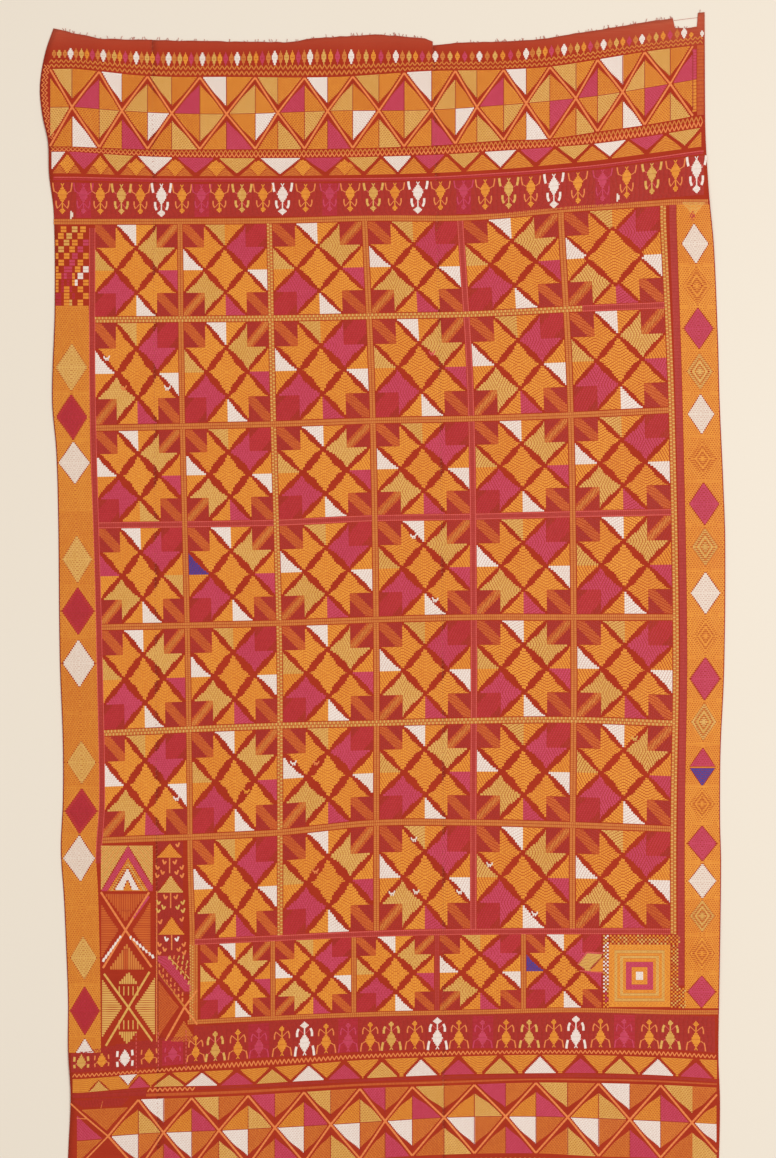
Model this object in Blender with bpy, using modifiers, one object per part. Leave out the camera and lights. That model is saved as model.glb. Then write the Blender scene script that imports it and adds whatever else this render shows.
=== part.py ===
"""Phulkari shawl, laid flat: three widths of handwoven cotton, seamed lengthwise.

Metres, +Z up. X runs across the shawl and Y along it, towards its upper end. The cloth rests
on Z = 0, and the origin is under the middle of its box. Each width is an open surface that a
Solidify modifier turns into a wall. Its underside is flat, but for a few low swells near the
borders, where the dense stitching has puckered the cloth and lifted it off the ground.
"""

import math

import bmesh
import bpy

MM = 0.001

# Driving dimensions, in millimetres.
CLOTH_THICKNESS = 1.5
SEAM_GAP = 0.3
INNER_ROWS_TOP = 1062
INNER_ROWS_BOTTOM = -1096
ROW_STEP = 54
COLUMN_STEP = 54

# The shawl's two long edges, a row for each bend. Columns: along, across.
LEFT_EDGE = [
    (1132, -641), (1089, -656), (1040, -666), (1003, -668), (955, -662), (910, -652),
    (845, -650), (773, -641), (582, -639), (407, -644), (309, -636), (173, -632),
    (-100, -629), (-256, -623), (-373, -623), (-471, -627), (-563, -621), (-652, -617),
    (-763, -613), (-861, -613), (-951, -608), (-1068, -613), (-1157, -615),
]
RIGHT_EDGE = [
    (1163, 628), (955, 629), (892, 631), (802, 637), (705, 646), (522, 654),
    (407, 657), (251, 664), (124, 668), (-120, 666), (-276, 659), (-412, 658),
    (-502, 660), (-771, 656), (-873, 655), (-970, 658), (-1146, 654),
]

# The two seams between the widths. Columns: along, across.
LEFT_SEAM = [(1109, -449), (0, -443), (-1155, -438)]
RIGHT_SEAM = [(1107, 98), (400, 112), (-200, 117), (-1138, 118)]

# The raw upper and lower ends of each width. Columns: across, along. The right-hand width is
# cut a little shorter than its neighbour, and has lost a piece beside its corner.
UPPER_END = {
    "width_left": [(-641, 1132), (-600, 1122), (-551, 1112), (-449, 1109)],
    "width_middle": [
        (-449, 1109), (-356, 1107), (-247, 1105), (-178, 1105), (-137, 1112),
        (-83, 1116), (-28, 1120), (26, 1118), (83, 1112), (98, 1107),
    ],
    "width_right": [
        (98, 1099), (143, 1103), (198, 1105), (253, 1107), (307, 1111), (362, 1120),
        (416, 1128), (463, 1136), (522, 1146), (566, 1151), (570, 1132), (613, 1134),
        (615, 1163), (628, 1163),
    ],
}
LOWER_END = {
    "width_left": [(-615, -1157), (-570, -1163), (-512, -1161), (-438, -1155)],
    "width_middle": [
        (-438, -1153), (-356, -1151), (-258, -1146), (-161, -1140), (-63, -1136),
        (34, -1134), (118, -1132),
    ],
    "width_right": [
        (118, -1138), (190, -1134), (288, -1132), (385, -1134), (502, -1140),
        (580, -1144), (654, -1146),
    ],
}

# Low swells in the cloth. Columns: across, along, turn in degrees, half length, half width,
# height.
SWELLS = [
    (-590, 985, 70, 215, 95, 4.0),
    (-585, 420, 95, 260, 90, 3.0),
    (-565, -180, 85, 230, 85, 2.5),
    (-520, -830, 60, 260, 110, 4.0),
    (-240, 1040, 10, 190, 85, 3.0),
    (330, 1030, -8, 220, 90, 3.5),
    (600, 760, 92, 230, 85, 3.5),
    (610, 60, 88, 300, 90, 3.0),
    (600, -640, 97, 250, 95, 3.5),
    (120, -1060, 4, 260, 90, 3.5),
    (-260, -1075, -6, 180, 80, 2.5),
    (440, -1050, 8, 200, 85, 3.0),
]

# The madder-dyed cotton of each width, as linear red, green and blue.
MADDER_RED = {
    "width_left": (0.41, 0.046, 0.030),
    "width_middle": (0.42, 0.049, 0.032),
    "width_right": (0.43, 0.050, 0.033),
}
COTTON_ROUGHNESS = 0.85


def clear_scene():
    for ob in list(bpy.data.objects):
        bpy.data.objects.remove(ob, do_unlink=True)


def straight_between(table, at):
    """The second column of a table at a value of its first, by straight lines."""
    rows = sorted(table)
    if at <= rows[0][0]:
        return rows[0][1]
    for (a0, b0), (a1, b1) in zip(rows, rows[1:]):
        if at <= a1:
            return b0 + (b1 - b0) * (at - a0) / (a1 - a0)
    return rows[-1][1]


def smooth_through(table, at):
    """As straight_between, by a smooth curve through the table's rows."""
    rows = sorted(table)
    at = min(max(at, rows[0][0]), rows[-1][0])
    last = len(rows) - 1
    k = 0
    while k < last - 1 and at > rows[k + 1][0]:
        k += 1
    (a0, b0), (a1, b1) = rows[k], rows[k + 1]

    def slope(i):
        low, high = rows[max(i - 1, 0)], rows[min(i + 1, last)]
        return (high[1] - low[1]) / (high[0] - low[0])

    span = a1 - a0
    t = (at - a0) / span
    from_start = (2 * t**3 - 3 * t**2 + 1) * b0 + (t**3 - 2 * t**2 + t) * span * slope(k)
    from_end = (3 * t**2 - 2 * t**3) * b1 + (t**3 - t**2) * span * slope(k + 1)
    return from_start + from_end


def lift(x, y):
    """How far the underside stands off the ground at a point."""
    height = 0.0
    for across, along, turn, half_length, half_width, top in SWELLS:
        angle = math.radians(turn)
        dx, dy = x - across, y - along
        lengthwise = (dx * math.cos(angle) + dy * math.sin(angle)) / half_length
        sideways = (dy * math.cos(angle) - dx * math.sin(angle)) / half_width
        reach = math.hypot(lengthwise, sideways)
        if reach < 1:
            height = max(height, top * math.cos(math.pi / 2 * reach) ** 2)
    return height


def with_steps(values, longest):
    """The values, with more between them so that no step is longer than the longest."""
    out = [values[0]]
    for low, high in zip(values, values[1:]):
        parts = max(1, math.ceil((high - low) / longest))
        out += [low + (high - low) * k / parts for k in range(1, parts + 1)]
    return out


def cotton(name):
    mat = bpy.data.materials.new(name + "_cotton")
    mat.use_nodes = True
    shader = mat.node_tree.nodes["Principled BSDF"]
    shader.inputs["Base Color"].default_value = (*MADDER_RED[name], 1)
    shader.inputs["Roughness"].default_value = COTTON_ROUGHNESS
    shader.inputs["Metallic"].default_value = 0
    mat.diffuse_color = (*MADDER_RED[name], 1)
    return mat


def width_of_cloth(name, left_side, right_side, collection):
    """One woven width between two lines, each a function from along to across."""
    upper, lower = UPPER_END[name], LOWER_END[name]
    columns = with_steps([across for across, along in upper], COLUMN_STEP)
    shares = [(x - columns[0]) / (columns[-1] - columns[0]) for x in columns]
    inner = with_steps([INNER_ROWS_BOTTOM, INNER_ROWS_TOP], ROW_STEP)
    lower_level, upper_level = lower[0][1], upper[0][1]
    levels = [lower_level, *inner, upper_level]

    bm = bmesh.new()
    bmesh.ops.create_grid(
        bm, x_segments=len(columns) - 1, y_segments=len(levels) - 1, size=0.5
    )
    for vert in bm.verts:
        column = round((vert.co.x + 0.5) * (len(columns) - 1))
        row = round((vert.co.y + 0.5) * (len(levels) - 1))
        y = levels[row]
        left, right = left_side(y), right_side(y)
        x = left + (right - left) * shares[column]
        if row == 0:
            y = straight_between(lower, x)
        elif row == len(levels) - 1:
            y = straight_between(upper, x)
        vert.co = (x * MM, y * MM, lift(x, y) * MM)

    mesh = bpy.data.meshes.new(name)
    bm.to_mesh(mesh)
    bm.free()
    mesh.materials.append(cotton(name))
    ob = bpy.data.objects.new(name, mesh)
    collection.objects.link(ob)

    wall = ob.modifiers.new("wall", "SOLIDIFY")
    wall.thickness = CLOTH_THICKNESS * MM
    wall.offset = 1
    return ob


def main():
    clear_scene()
    collection = bpy.data.collections.new("phulkari_shawl")
    bpy.context.scene.collection.children.link(collection)
    half_gap = SEAM_GAP / 2

    width_of_cloth(
        "width_left",
        lambda y: smooth_through(LEFT_EDGE, y),
        lambda y: smooth_through(LEFT_SEAM, y) - half_gap,
        collection,
    )
    width_of_cloth(
        "width_middle",
        lambda y: smooth_through(LEFT_SEAM, y) + half_gap,
        lambda y: smooth_through(RIGHT_SEAM, y) - half_gap,
        collection,
    )
    width_of_cloth(
        "width_right",
        lambda y: smooth_through(RIGHT_SEAM, y) + half_gap,
        lambda y: smooth_through(RIGHT_EDGE, y),
        collection,
    )


main()
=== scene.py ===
"""Phulkari shawl, laid flat: madder cotton in three widths, darned all over in floss silk.

Lengths are in millimetres and become metres where a mesh is made. X runs across the shawl,
Y along it towards its upper end, and the cloth lies on Z = 0.
"""

import bisect
import math
import random
from itertools import groupby

import bmesh
import bpy
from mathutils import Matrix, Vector


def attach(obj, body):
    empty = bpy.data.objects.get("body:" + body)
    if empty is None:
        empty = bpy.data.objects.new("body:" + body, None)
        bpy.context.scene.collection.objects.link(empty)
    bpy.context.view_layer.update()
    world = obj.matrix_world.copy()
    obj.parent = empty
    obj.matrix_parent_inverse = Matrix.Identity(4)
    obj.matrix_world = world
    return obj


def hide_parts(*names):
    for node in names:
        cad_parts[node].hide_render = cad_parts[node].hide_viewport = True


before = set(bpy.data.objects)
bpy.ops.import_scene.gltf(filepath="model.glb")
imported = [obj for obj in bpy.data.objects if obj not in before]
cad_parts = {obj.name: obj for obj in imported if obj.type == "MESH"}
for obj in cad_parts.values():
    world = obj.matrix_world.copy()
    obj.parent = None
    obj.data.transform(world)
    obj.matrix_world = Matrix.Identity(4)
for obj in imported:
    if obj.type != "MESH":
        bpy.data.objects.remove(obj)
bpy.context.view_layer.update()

MM = 0.001
chance = random.Random(11)

# ------------------------------------------------------------------ the cloth's own measures
CLOTH_THICKNESS = 1.5
SEAM_GAP = 0.3
CLOTH_STEP = 14

# The two long edges, a row for each bend. Columns: along, across.
LEFT_EDGE = [
    (1132, -641), (1089, -656), (1040, -666), (1003, -668), (955, -662), (910, -652),
    (845, -650), (773, -641), (582, -639), (407, -644), (309, -636), (173, -632),
    (-100, -629), (-256, -623), (-373, -623), (-471, -627), (-563, -621), (-652, -617),
    (-763, -613), (-861, -613), (-951, -608), (-1068, -613), (-1157, -615),
]
RIGHT_EDGE = [
    (1163, 628), (955, 629), (892, 631), (802, 637), (705, 646), (522, 654),
    (407, 657), (251, 664), (124, 668), (-120, 666), (-276, 659), (-412, 658),
    (-502, 660), (-771, 656), (-873, 655), (-970, 658), (-1146, 654),
]

# The seams between the widths. Columns: along, across.
LEFT_SEAM = [(1109, -449), (0, -443), (-1155, -438)]
RIGHT_SEAM = [(1107, 98), (400, 112), (-200, 117), (-1138, 118)]

# The raw ends of each width. Columns: across, along.
UPPER_END = {
    "left": [(-641, 1132), (-600, 1122), (-551, 1112), (-449, 1109)],
    "middle": [
        (-449, 1109), (-356, 1107), (-247, 1105), (-178, 1105), (-137, 1112),
        (-83, 1116), (-28, 1120), (26, 1118), (83, 1112), (98, 1107),
    ],
    "right": [
        (98, 1099), (143, 1103), (198, 1105), (253, 1107), (307, 1111), (362, 1120),
        (416, 1128), (463, 1136), (522, 1146), (566, 1151), (570, 1132), (613, 1134),
        (615, 1163), (628, 1163),
    ],
}
LOWER_END = {
    "left": [(-615, -1157), (-570, -1163), (-512, -1161), (-438, -1155)],
    "middle": [
        (-438, -1153), (-356, -1151), (-258, -1146), (-161, -1140), (-63, -1136),
        (34, -1134), (118, -1132),
    ],
    "right": [
        (118, -1138), (190, -1134), (288, -1132), (385, -1134), (502, -1140),
        (580, -1144), (654, -1146),
    ],
}

# Low swells where the stitching has puckered the cloth. Columns: across, along, turn in
# degrees, half length, half width, height.
SWELLS = [
    (-590, 985, 70, 215, 95, 4.0),
    (-585, 420, 95, 260, 90, 3.0),
    (-565, -180, 85, 230, 85, 2.5),
    (-520, -830, 60, 260, 110, 4.0),
    (-240, 1040, 10, 190, 85, 3.0),
    (330, 1030, -8, 220, 90, 3.5),
    (600, 760, 92, 230, 85, 3.5),
    (610, 60, 88, 300, 90, 3.0),
    (600, -640, 97, 250, 95, 3.5),
    (120, -1060, 4, 260, 90, 3.5),
    (-260, -1075, -6, 180, 80, 2.5),
    (440, -1050, 8, 200, 85, 3.0),
]

# ------------------------------------------------------------- the counted lines of the field
# The seven lines between the columns of tiles, and the stripe beside the right border.
# Columns: along, then the place across of each line.
COLUMN_LINES = [
    (758, -566, -395, -221, -35, 151, 348, 547, 566),
    (407, -565, -391, -214, -20, 172, 366, 563, 578),
    (-81, -552, -380, -201, -12, 178, 373, 572, 587),
    (-372, -547, -376, -200, -12, 177, 371, 568, 583),
    (-490, -554, -375, -200, -12, 177, 370, 567, 582),
    (-620, -554, -371, -200, -12, 177, 370, 567, 582),
]
# The nine lines between the rows of tiles, the first and last being the frame. Columns:
# across, then the place along of each line.
ROW_LINES = [
    (-565, 754, 563, 351, 162, -37, -244, -453, -660, -816),
    (-219, 756, 566, 359, 167, -29, -229, -438, -644, -799),
    (-20, 761, 570, 366, 176, -22, -224, -418, -635, -791),
    (171, 762, 574, 370, 179, -17, -219, -417, -631, -787),
    (370, 779, 584, 377, 184, -17, -217, -422, -630, -783),
    (565, 792, 592, 387, 188, -17, -224, -430, -630, -787),
]
SMALL_TILE_LINES = [-360, -214, -56, 106, 275, 432]

# The upper border's levels, a name for each line that runs along it and its height above the
# middle of the lattice. The lower border has the same parts the other way up.
UPPER_LEVELS = [103, 78, 0, -70, -88, -121, -131, -158, -211]
UPPER_LINES = [
    (-600, 1081, 1052, 977, 900, 890, 851, 841, 809, 754),
    (-453, 1072, 1038, 967, 895, 881, 846, 838, 807, 754),
    (-297, 1071, 1036, 964, 895, 878, 845, 838, 808, 758),
    (-102, 1075, 1036, 970, 896, 879, 847, 838, 811, 759),
    (93, 1076, 1048, 972, 902, 884, 852, 841, 815, 761),
    (229, 1077, 1050, 981, 912, 892, 859, 849, 820, 763),
    (327, 1086, 1056, 989, 916, 899, 868, 856, 826, 770),
    (424, 1098, 1071, 1000, 930, 907, 878, 865, 838, 775),
    (522, 1112, 1087, 1016, 944, 921, 891, 878, 850, 790),
    (619, 1126, 1099, 1033, 962, 937, 903, 892, 861, 799),
]
LOWER_LEVELS = [205, 156, 126, 120, 84, 76, 70, 0, -72]
LOWER_LINES = [
    (-590, -816, -884, -909, -917, -944, -948, -956, -1033, -1105),
    (-453, -813, -870, -901, -907, -933, -940, -952, -1023, -1095),
    (-288, -804, -856, -887, -899, -929, -935, -946, -1016, -1087),
    (-153, -795, -844, -879, -889, -921, -928, -938, -1009, -1081),
    (-38, -791, -838, -872, -880, -916, -922, -931, -1002, -1073),
    (124, -787, -834, -866, -874, -909, -917, -926, -992, -1064),
    (288, -785, -834, -864, -870, -906, -914, -920, -990, -1062),
    (424, -783, -832, -864, -871, -906, -914, -921, -994, -1068),
    (541, -786, -834, -866, -875, -910, -917, -924, -999, -1071),
    (648, -790, -839, -873, -880, -917, -923, -929, -1005, -1075),
]


def smooth_line(rows):
    """A function that runs smoothly through rows of (at, value), level past either end."""
    rows = sorted(rows)
    places = [row[0] for row in rows]
    last = len(rows) - 1
    slopes = []
    for k in range(len(rows)):
        low, high = rows[max(k - 1, 0)], rows[min(k + 1, last)]
        slopes.append((high[1] - low[1]) / (high[0] - low[0]))

    def follow(at):
        at = min(max(at, places[0]), places[last])
        k = min(bisect.bisect_right(places, at), last) - 1
        (a0, b0), (a1, b1) = rows[k], rows[k + 1]
        span = a1 - a0
        t = (at - a0) / span
        start = (2 * t**3 - 3 * t**2 + 1) * b0 + (t**3 - 2 * t**2 + t) * span * slopes[k]
        end = (3 * t**2 - 2 * t**3) * b1 + (t**3 - t**2) * span * slopes[k + 1]
        return start + end

    return follow


def straight_between(table, at):
    """The second column of a table at a value of its first, by straight lines."""
    rows = sorted(table)
    if at <= rows[0][0]:
        return rows[0][1]
    for (a0, b0), (a1, b1) in zip(rows, rows[1:]):
        if at <= a1:
            return b0 + (b1 - b0) * (at - a0) / (a1 - a0)
    return rows[-1][1]


def lines_of(table):
    """A smooth line for each column of a table but its first."""
    count = len(table[0]) - 1
    return [smooth_line([(row[0], row[1 + k]) for row in table]) for k in range(count)]


left_edge, right_edge = smooth_line(LEFT_EDGE), smooth_line(RIGHT_EDGE)
left_seam, right_seam = smooth_line(LEFT_SEAM), smooth_line(RIGHT_SEAM)
column_lines = lines_of(COLUMN_LINES)
row_lines = lines_of(ROW_LINES)
upper_lines = lines_of(UPPER_LINES)
lower_lines = lines_of(LOWER_LINES)
right_stripe = column_lines.pop()
small_tile_lines = [lambda along, x=x: x for x in SMALL_TILE_LINES]


def lift(x, y):
    """How far the cloth's underside stands off the ground at a point."""
    height = 0.0
    for across, along, turn, half_length, half_width, top in SWELLS:
        dx, dy = x - across, y - along
        if abs(dx) > half_length or abs(dy) > half_length:
            continue
        angle = math.radians(turn)
        lengthwise = (dx * math.cos(angle) + dy * math.sin(angle)) / half_length
        sideways = (dy * math.cos(angle) - dx * math.sin(angle)) / half_width
        reach = math.hypot(lengthwise, sideways)
        if reach < 1:
            height = max(height, top * math.cos(math.pi / 2 * reach) ** 2)
    return height


# ------------------------------------------------- from the chart's counts to places on cloth
def between(lines, count, at):
    """The value between two numbered lines, and past the first and last, at a place."""
    k = min(max(math.floor(count), 0), len(lines) - 2)
    share = count - k
    return (1 - share) * lines[k](at) + share * lines[k + 1](at)


def on_field(column, row):
    """A point of the field, counted in columns and rows of tiles from its upper left."""
    x = between(column_lines, column, 0)
    y = between(row_lines, row, x)
    for _ in range(2):
        x = between(column_lines, column, y)
        y = between(row_lines, row, x)
    return x, y


def on_small_row(column, row):
    """A point of the last, lower row of tiles, which has columns of its own."""
    x = between(small_tile_lines, column, 0)
    return x, between(row_lines, row, x)


def on_levels(levels, lines):
    """A border's points: the place across, and the height above the lattice's middle."""

    def place(x, height):
        k = 0
        while k < len(levels) - 2 and height < levels[k + 1]:
            k += 1
        share = (levels[k] - height) / (levels[k] - levels[k + 1])
        return x, (1 - share) * lines[k](x) + share * lines[k + 1](x)

    return place


on_upper_border = on_levels(UPPER_LEVELS, upper_lines)
on_lower_border = on_levels(LOWER_LEVELS, lower_lines)

LEFT_BORDER_WIDTH, RIGHT_BORDER_WIDTH, SELVEDGE, STRIPE_WIDTH = 68, 73, 1.8, 7
# The inner edge of the left border. Columns: along, across.
LEFT_INNER = [
    (590, -573), (543, -571.5), (309, -569.6), (95, -561), (-81, -557.5), (-217, -554.5),
    (-373, -552), (-471, -558.5), (-553, -554.5), (-685, -551), (-763, -549.5), (-870, -548.5),
]
left_inner = smooth_line(LEFT_INNER)


def moved(line, aside):
    """A line at a distance across from another."""
    return lambda y: line(y) + aside


def on_strip(left, right, width):
    """A strip's points: the place across from its middle, as if its width were even, and along."""
    return lambda u, y: ((left(y) + right(y)) / 2 + u * (right(y) - left(y)) / width, y)


on_left_border = on_strip(moved(left_edge, SELVEDGE), left_inner, LEFT_BORDER_WIDTH)
on_right_border = on_strip(
    moved(right_stripe, STRIPE_WIDTH), moved(right_edge, -SELVEDGE), RIGHT_BORDER_WIDTH
)


def beside(line):
    """Points at a distance across from a line that runs along the shawl."""
    return lambda u, y: (line(y) + u, y)


def on_cloth(x, y):
    return x, y


# ------------------------------------------------------------------------------- the stitches
stitches = {}
# A shape's tone strays at random by the first, which also stands in for painted sheen that differs
# from shape to shape; a float's strays by the second, round the middle tone.
MOTIF_TONE_AND_SHEEN, STITCH_TONE, MIDDLE_TONE = 0.26, 0.24, 0.5
# The usual width of a row of darning outside the tiles.
PITCH = 2.6
# How high a stitch lies that is worked over others, and the thin lines that split a lattice.
OVER, SPLIT_OVER = 0.36, 0.3
# Flosses whose floats lie closer together than the others', and by how much.
GAP_OF = {"white": 0.45, "cream": 0.45}
FLOSS_OF = {
    "O": "orange", "A": "amber", "B": "burnt_orange", "G": "gold", "W": "white",
    "C": "cream", "M": "magenta", "K": "crimson", "V": "violet",
}


def box(u0, v0, u1, v1):
    """The corners of a box, from its lower left one round to its upper left one."""
    return [(u0, v0), (u1, v0), (u1, v1), (u0, v1)]


def lozenge(u, v, half_width, half_height):
    """A lozenge round a middle, from its upper corner round to its left one."""
    return [(u, v + half_height), (u + half_width, v), (u, v - half_height), (u - half_width, v)]


def upright(u, low, high, half):
    """A triangle with a base at one height and its tip at another."""
    return [(u - half, low), (u + half, low), (u, high)]


def placed(points, u, v, wide=1.0, tall=1.0):
    """Points drawn round a middle, moved there and made a width and a height times as large."""
    return [(u + x * wide, v + y * tall) for x, y in points]


def shape(floss, outline, ground=0.0, run="along", heart=None, tip=None):
    """One shape of a chart: ground is the bare width beside it and tip that at its far point.

    run says whether its floats lie along or across the panel, and heart is the middle of its
    nested diamonds."""
    return floss, outline, ground, run, heart, tip


def add_stitch(floss, corners, place, tone=MIDDLE_TONE, over=0.0):
    """One float of floss between four corners of the chart, lying over others by a height."""
    points = [place(*corner) for corner in corners]
    (x0, y0), (x1, y1), (x2, y2) = points[:3]
    if (x1 - x0) * (y2 - y1) - (y1 - y0) * (x2 - x1) < 0:
        points = [points[1], points[0], points[3], points[2]]
    tone = min(max(tone + chance.uniform(-STITCH_TONE, STITCH_TONE), 0), 1)
    stitches.setdefault(floss, []).append((points, tone, over))


# A side flatter than this runs with the weave and has no bare ground beside it.
FLAT_SIDE = 0.2
# The bare ground's width at the ends of a side and what it gains half way, in shares of the
# shape's ground, then how far and how often it wavers, plain or beside a tip.
BARE_ENDS, BARE_GAIN = 0.38, 0.82
BARE_WAVER, BARE_WAVES, TIP_WAVER, TIP_WAVES = 0.14, 19, 0.08, 9


def row_crossings(outline, at, ground, tip, level):
    """Where a row of darning meets an outline, with the ground left bare at each crossing.

    The bare line wavers a little and is widest half way along a side. Where a tip's ground is
    given it grows to that instead, at the point farthest from the level."""
    reach = max(abs(v - level) for u, v in outline)
    found = []
    for (u0, v0), (u1, v1) in zip(outline, outline[1:] + outline[:1]):
        if (u0 <= at) == (u1 <= at):
            continue
        share = (at - u0) / (u1 - u0)
        steep = (v1 - v0) / (u1 - u0)
        meets = v0 + steep * (at - u0)
        bare = 0
        if abs(steep) > FLAT_SIDE and tip is None:
            waver = BARE_WAVER * math.sin(BARE_WAVES * share)
            bare = ground * (BARE_ENDS + BARE_GAIN * math.sin(math.pi * share) + waver)
        elif abs(steep) > FLAT_SIDE:
            far = (abs(meets - level) / reach) ** 2
            waver = TIP_WAVER * math.sin(TIP_WAVES * share)
            bare = (ground + (tip - ground) * far) * (1 + waver)
        found.append((meets, bare * math.hypot(1, steep)))
    return sorted(found)


TOUCH = 0.0001


def uncovered(span, covers):
    """What is left of a span once the shapes worked over it are taken out."""
    left = [span]
    for low, low_bare, high, high_bare in covers:
        kept = []
        for a, a_bare, b, b_bare in left:
            if high <= a + TOUCH or low >= b - TOUCH:
                kept.append((a, a_bare, b, b_bare))
                continue
            if low > a + TOUCH:
                kept.append((a, a_bare, low, low_bare))
            if high < b - TOUCH:
                kept.append((high, high_bare, b, b_bare))
        left = kept
    return left


# The shortest end float and the shortest row, as shares of a float's length.
SHORT_END, SHORT_ROW = 0.3, 0.25


def chevron_cuts(low, high, aside, centre, step):
    """Where the floats of a row end, so that the ends make nested diamonds round a centre."""
    reach = max(abs(low - centre), abs(high - centre)) + aside
    cuts = {low, high}
    for k in range(math.ceil(aside / step), math.floor(reach / step) + 1):
        away = k * step - aside
        cuts.update(
            cut for cut in (centre - away, centre + away)
            if low + SHORT_END * step < cut < high - SHORT_END * step
        )
    return sorted(cuts)


def darn(shapes, place, step, gap, pitch=PITCH, heart=None, slope=1.0, cover=0.98, over=0.0):
    """Fill the shapes of one panel with rows of darning.

    A later shape is worked over an earlier one. The nested diamonds of the floats' ends are
    slope times as tall as they are wide. The length of a float, its gap at each end and the
    pitch between rows are in the chart's own counts, and cover is how much of a row's width
    its floats fill."""
    for way in ("along", "across"):
        if all(run != way for floss, outline, ground, run, centre, tip in shapes):
            continue
        swap = place if way == "along" else (lambda v, u: place(u, v))
        chart = []
        for floss, outline, ground, run, centre, tip in shapes:
            centre = centre or heart
            if way == "across":
                outline, centre = [(v, u) for u, v in outline], centre and centre[::-1]
            low, high = min(outline)[0], max(outline)[0]
            # random tone for the shape, partly painted sheen
            tone = MIDDLE_TONE + chance.uniform(-MOTIF_TONE_AND_SHEEN, MOTIF_TONE_AND_SHEEN)
            chart.append((floss, outline, ground, tip, run == way, centre, tone, low, high))
        start, end = min(row[-2] for row in chart), max(row[-1] for row in chart)
        count = max(1, round((end - start) / pitch))
        width = (end - start) / count
        for k in range(count):
            at = start + (k + 0.5) * width
            covers = []
            for floss, outline, ground, tip, shown, centre, tone, low, high in reversed(chart):
                if not low < at < high:
                    continue
                ends = row_crossings(outline, at, ground, tip, centre[1] if centre else 0)
                spans = [(*a, *b) for a, b in zip(ends[::2], ends[1::2])]
                for span in (spans if shown else []):
                    for a, a_bare, b, b_bare in uncovered(span, covers):
                        darn_row(
                            floss, at, width * cover, a + a_bare, b - b_bare, step, gap,
                            centre, slope, swap, tone, over,
                        )
                covers += spans


def darn_row(floss, at, width, low, high, step, gap, centre, slope, place, tone, over):
    """One row of floats, as long as the step, from the low end to the high end."""
    if high - low < SHORT_ROW * min(step, 3 * width):
        return
    middle_u, middle_v = centre or (at, (low + high) / 2)
    cuts = chevron_cuts(low, high, abs(at - middle_u) * slope, middle_v, step)
    half = width / 2
    gap *= GAP_OF.get(floss, 1.0)
    for a, b in zip(cuts, cuts[1:]):
        a, b = a + gap, b - gap
        if b > a:
            add_stitch(floss, box(at - half, a, at + half, b), place, tone, over)


def strand(floss, path, width, place=on_cloth, step=9.0, over=0.0):
    """A line of stitches worked end to end through the points of a path, in millimetres."""
    for (u0, v0), (u1, v1) in zip(path, path[1:]):
        length = math.hypot(u1 - u0, v1 - v0)
        du, dv = (v1 - v0) / length * width / 2, (u1 - u0) / length * width / 2
        parts = max(1, round(length / step))
        for k in range(parts):
            (au, av), (bu, bv) = (
                (u0 + (u1 - u0) * share, v0 + (v1 - v0) * share)
                for share in (k / parts, (k + 1) / parts)
            )
            corners = [
                (au + du, av - dv), (bu + du, bv - dv), (bu - du, bv + dv), (au - du, av + dv),
            ]
            add_stitch(floss, corners, place, MIDDLE_TONE, over)


# ---------------------------------------------------------------------------- the large tiles
BAND = 0.034
TILE_PITCH, TILE_STEP = 1 / 12, 1 / 8
SMALL_PITCH, SMALL_STEP = 1 / 10, 1 / 6

# The two tiles that alternate. Arrows: upper left, upper right, lower right, lower left.
# Sides, each in two halves: clockwise from the left half of the upper side.
TILES = {"a": ("OGOM", "WOOMWOOG"), "b": ("OMOG", "GOOWMOOW")}
# The tiles where the embroiderer changed a colour. Row, column: arrows, sides.
CHANGED_TILES = {
    (2, 3): ("OMOM", "GOOWMOOW"),
    (3, 1): ("OGOM", "WOOMGOOW"),
    (4, 1): ("OMOG", "WOOGWOOM"),
    (4, 2): ("OGOM", "WOOMWOOV"),
    (8, 5): ("OMOM", "WOGMWOOV"),
}
# How far a streak reaches out of its corner, by the arrow's floss, and a gold one's bright end.
STREAK_REACH, BRIGHT_REACH = {"M": 1.55, "O": 1.28, "G": 1.28}, 1.14
HEART_SIZE, LARGE_HEART, LARGE_HEART_TILE = 1.0, 1.22, (1, 6)
# The tile whose place the freely worked corner takes.
PATCHED_TILE = (7, 1)
# The bare line beside a heart at the upper right, what it gains towards the lower left, and how
# uneven it is. Those beside the arrows and the sides are shares of it.
LINE_LEAST, LINE_GAIN, LINE_UNEVEN = 0.115, 0.075, 0.015
ARROW_SHARE, SIDE_SHARE = 0.72, 0.5
# The gap between floats at the left side, and what it gains towards the right.
GAP_LEAST, GAP_GAIN = 0.003, 0.009


def quarter_turned(points, turns):
    """Points turned anticlockwise round the middle, a quarter at a time."""
    for _ in range(turns):
        points = [(-v, u) for u, v in points]
    return points


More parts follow.
